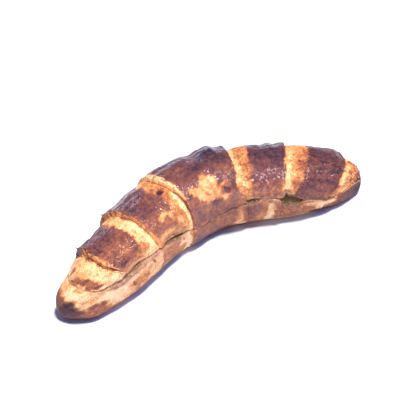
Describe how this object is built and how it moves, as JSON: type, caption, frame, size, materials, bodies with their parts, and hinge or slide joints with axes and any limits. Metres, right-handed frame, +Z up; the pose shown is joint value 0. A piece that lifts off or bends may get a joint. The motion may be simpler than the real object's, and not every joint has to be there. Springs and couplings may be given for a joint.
{
  "type": "croissant",
  "caption": "Slender crescent croissant sliced level along its length, its upper half resting on the lower half; stepped wraps of glazed brown crust with pale stripes between them.",
  "frame": {"origin": "centre of the bounding box, on the floor plane that the croissant rests on", "axes": "+X from the left tip to the right tip, +Z up, -Y towards the hollow side of the crescent"},
  "size_m": [0.2024, 0.0664, 0.0422],
  "materials": {
    "baked_crust": "glazed brown baked crust with pale stripes",
    "pale_crust": "dry golden baked crust"
  },
  "bodies": {
    "root": {"croissant_lid": "baked_crust", "croissant_base": "pale_crust"}
  },
  "joints": []
}
